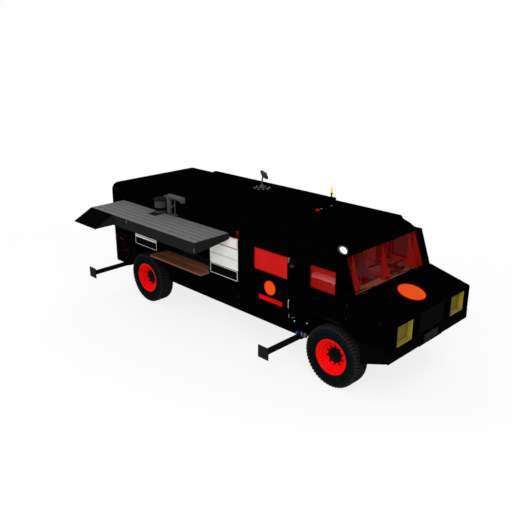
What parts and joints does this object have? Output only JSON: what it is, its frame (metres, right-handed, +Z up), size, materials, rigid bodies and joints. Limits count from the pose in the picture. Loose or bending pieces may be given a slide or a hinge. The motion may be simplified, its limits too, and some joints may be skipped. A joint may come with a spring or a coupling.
{
  "type": "food truck",
  "caption": "Two-axle van-bodied food truck with a bonneted cab, a fold-out serving flap over a counter, tinted windows and slide-out stabiliser beams.",
  "frame": {"origin": "on the floor, in the middle of the box around the truck as it stands with its awning flap open and stabiliser beams out; the truck's centre line is 0.2465 m to the left (+Y)", "axes": "+X towards the nose, +Y to the truck's left, +Z up"},
  "size_m": [7.562, 4.593, 2.9168],
  "materials": {
    "body_black": "satin black paint",
    "chassis_black": "matt black chassis paint",
    "tyre": "black rubber",
    "rim_red": "red enamel",
    "red_glass": "red tinted",
    "awning_grey": "grey ribbed sheet",
    "board_white": "white enamel boards",
    "timber": "brown oiled boards",
    "lamp_yellow": "olive yellow lamp trays",
    "bare_steel": "dull steel",
    "seat_cover": "dark seat cloth",
    "frame_grey": "grey seat frames",
    "trim_black": "black moulding",
    "amber": "amber beacon",
    "engine_iron": "engine block"
  },
  "bodies": {
    "root": {"chassis_frame": "chassis_black", "front_axle": "chassis_black", "rear_axle": "chassis_black", "engine_block": "engine_iron", "cabin_floor": "chassis_black", "right_wall": "body_black", "left_wall": "body_black", "rear_wall": "body_black", "roof_shell": "body_black", "cab_frame": "body_black", "fenders": "body_black", "stabiliser_tubes": "chassis_black", "floor_bearers": "chassis_black", "wheel_boxes": "chassis_black", "awning_brackets": "bare_steel", "front_fascia": "body_black", "headlight_trays": "lamp_yellow", "grille": "body_black", "glazing": "red_glass", "dashboard": "timber", "steering_wheel": "trim_black", "seat_cushions": "seat_cover", "seat_frames": "frame_grey", "worktop": "timber", "galley_units": "bare_steel", "menu_boards": "board_white", "roof_stacks": "bare_steel", "roof_fittings": "body_black", "beacon": "amber"},
    "right_steering": {"right_knuckle": "chassis_black"},
    "left_steering": {"left_knuckle": "chassis_black"},
    "side_door_leaf": {"side_door": "body_black", "side_door_glass": "red_glass"},
    "right_cab_door_leaf": {"right_cab_door": "body_black", "right_cab_glass": "red_glass"},
    "left_cab_door_leaf": {"left_cab_door": "body_black", "left_cab_glass": "red_glass"},
    "rear_door_leaf": {"rear_door": "body_black"},
    "hood_lid": {"hood": "body_black"},
    "locker_lid": {"locker_door": "body_black"},
    "awning_flap": {"awning": "awning_grey"},
    "counter_leaf": {"counter": "timber"},
    "roof_lid": {"roof_hatch": "body_black"},
    "rear_right_wheel": {"rear_right_tyre": "tyre", "rear_right_rim": "rim_red"},
    "front_right_wheel": {"front_right_tyre": "tyre", "front_right_rim": "rim_red"},
    "rear_left_wheel": {"rear_left_tyre": "tyre", "rear_left_rim": "rim_red"},
    "front_left_wheel": {"front_left_tyre": "tyre", "front_left_rim": "rim_red"},
    "rear_right_leg_beam": {"rear_right_leg": "chassis_black"},
    "front_right_leg_beam": {"front_right_leg": "chassis_black"},
    "rear_left_leg_beam": {"rear_left_leg": "chassis_black"},
    "front_left_leg_beam": {"front_left_leg": "chassis_black"}
  },
  "joints": [
    {"name": "right_steer", "type": "hinge", "parent": "root", "child": "right_steering", "pos_m": [2.633, -0.6135, 0.56], "axis": [0, 0, 1], "range_deg": [-30, 30]},
    {"name": "left_steer", "type": "hinge", "parent": "root", "child": "left_steering", "pos_m": [2.633, 1.1065, 0.56], "axis": [0, 0, 1], "range_deg": [-30, 30]},
    {"name": "rear_right_roll", "type": "hinge", "parent": "root", "child": "rear_right_wheel", "pos_m": [-2.621, -0.8455, 0.56], "axis": [0, 1, 0], "continuous": true},
    {"name": "front_right_roll", "type": "hinge", "parent": "right_steering", "child": "front_right_wheel", "pos_m": [2.633, -0.8455, 0.56], "axis": [0, 1, 0], "continuous": true},
    {"name": "rear_left_roll", "type": "hinge", "parent": "root", "child": "rear_left_wheel", "pos_m": [-2.621, 1.3385, 0.56], "axis": [0, 1, 0], "continuous": true},
    {"name": "front_left_roll", "type": "hinge", "parent": "left_steering", "child": "front_left_wheel", "pos_m": [2.633, 1.3385, 0.56], "axis": [0, 1, 0], "continuous": true},
    {"name": "side_door_hinge", "type": "hinge", "parent": "root", "child": "side_door_leaf", "pos_m": [0.379, -1.0155, 1.6], "axis": [0, 0, -1], "range_deg": [0, 90]},
    {"name": "right_cab_door_hinge", "type": "hinge", "parent": "root", "child": "right_cab_door_leaf", "pos_m": [2.93, -1.0155, 1.8], "axis": [0, 0, 1], "range_deg": [0, 70]},
    {"name": "left_cab_door_hinge", "type": "hinge", "parent": "root", "child": "left_cab_door_leaf", "pos_m": [2.93, 1.5085, 1.8], "axis": [0, 0, -1], "range_deg": [0, 70]},
    {"name": "rear_door_hinge", "type": "hinge", "parent": "root", "child": "rear_door_leaf", "pos_m": [-3.791, 0.6465, 1.55], "axis": [0, 0, -1], "range_deg": [0, 110]},
    {"name": "locker_hinge", "type": "hinge", "parent": "root", "child": "locker_lid", "pos_m": [-3.731, -1.0155, 1.08], "axis": [0, 0, -1], "range_deg": [0, 100]},
    {"name": "hood_hinge", "type": "hinge", "parent": "root", "child": "hood_lid", "pos_m": [2.957, 0.2465, 1.716], "axis": [0, -1, 0], "range_deg": [0, 50]},
    {"name": "roof_lid_hinge", "type": "hinge", "parent": "root", "child": "roof_lid", "pos_m": [0.575, 0.6565, 2.556], "axis": [0, -1, 0], "range_deg": [0, 70]},
    {"name": "awning_hinge", "type": "hinge", "parent": "root", "child": "awning_flap", "pos_m": [-1.621, -1.088, 2.0815], "axis": [-1, 0, 0], "range_deg": [-90, 0]},
    {"name": "counter_hinge", "type": "hinge", "parent": "root", "child": "counter_leaf", "pos_m": [-1.321, -1.0135, 1.25], "axis": [-1, 0, 0], "range_deg": [-90, 0]},
    {"name": "rear_right_leg_slide", "type": "slide", "parent": "root", "child": "rear_right_leg_beam", "axis": [0, -1, 0], "range_m": [-0.77, 0]},
    {"name": "front_right_leg_slide", "type": "slide", "parent": "root", "child": "front_right_leg_beam", "axis": [0, -1, 0], "range_m": [-0.8, 0]},
    {"name": "rear_left_leg_slide", "type": "slide", "parent": "root", "child": "rear_left_leg_beam", "axis": [0, 1, 0], "range_m": [-0.77, 0]},
    {"name": "front_left_leg_slide", "type": "slide", "parent": "root", "child": "front_left_leg_beam", "axis": [0, 1, 0], "range_m": [-0.8, 0]}
  ],
  "couplings": [
    {"joint": "left_steer", "follows": "right_steer", "ratio": 1}
  ]
}
